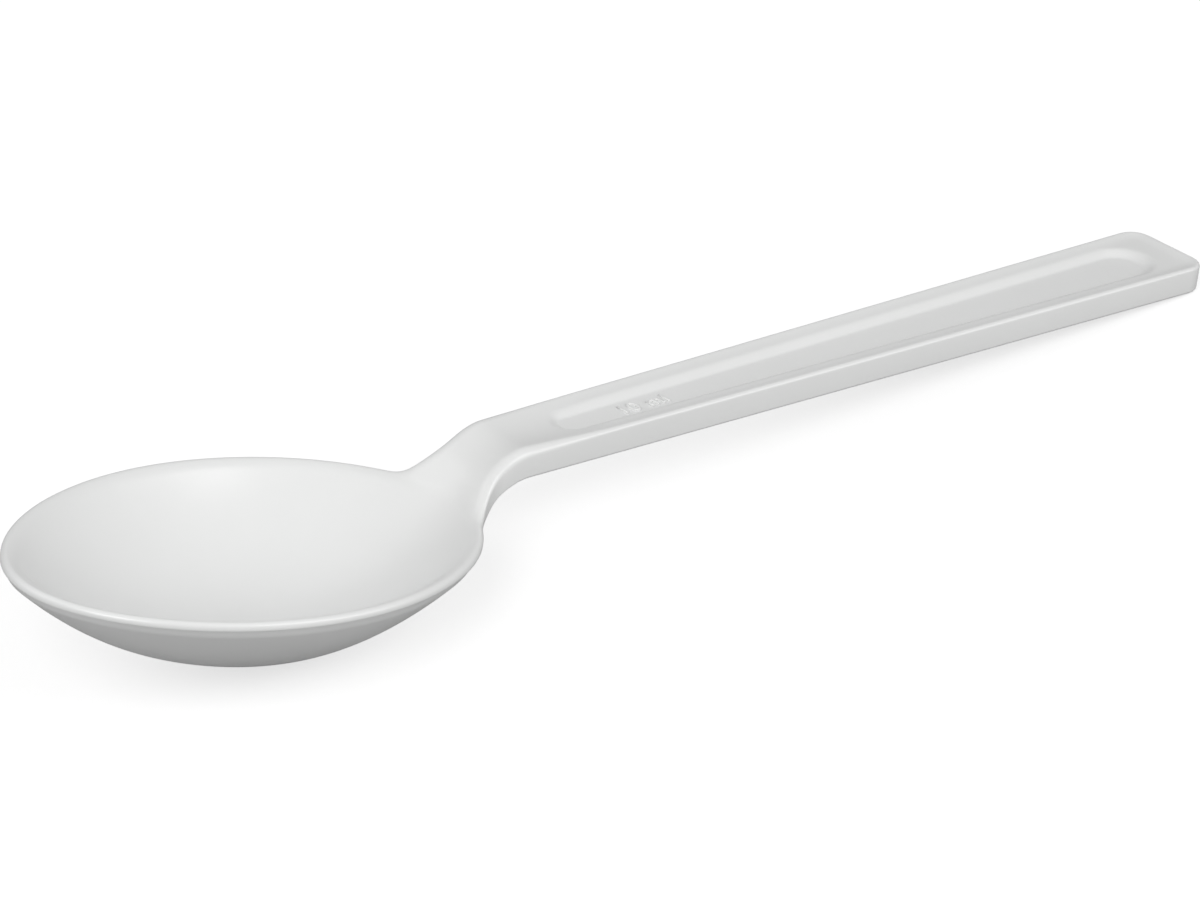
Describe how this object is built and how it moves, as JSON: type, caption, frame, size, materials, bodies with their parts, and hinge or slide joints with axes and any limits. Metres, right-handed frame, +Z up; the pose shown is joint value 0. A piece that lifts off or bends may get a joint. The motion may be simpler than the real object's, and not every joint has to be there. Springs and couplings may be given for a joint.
{
  "type": "sampling spoon",
  "caption": "Disposable sampling spoon moulded in white polystyrene: deep egg-shaped bowl with a rounded rim, dished rising neck, widening flat handle with a long shallow recess.",
  "frame": {"origin": "middle of the bounding box, on the table that the spoon lies on", "axes": "+X from the bowl's tip to the handle's end, +Y sideways, +Z up, with the spoon lying on its bowl and on the lower edge of its handle's end"},
  "size_m": [0.1698, 0.042, 0.0185],
  "materials": {
    "polystyrene": "satin moulded white"
  },
  "bodies": {
    "root": {"bowl": "polystyrene", "neck": "polystyrene", "handle": "polystyrene"}
  },
  "joints": []
}
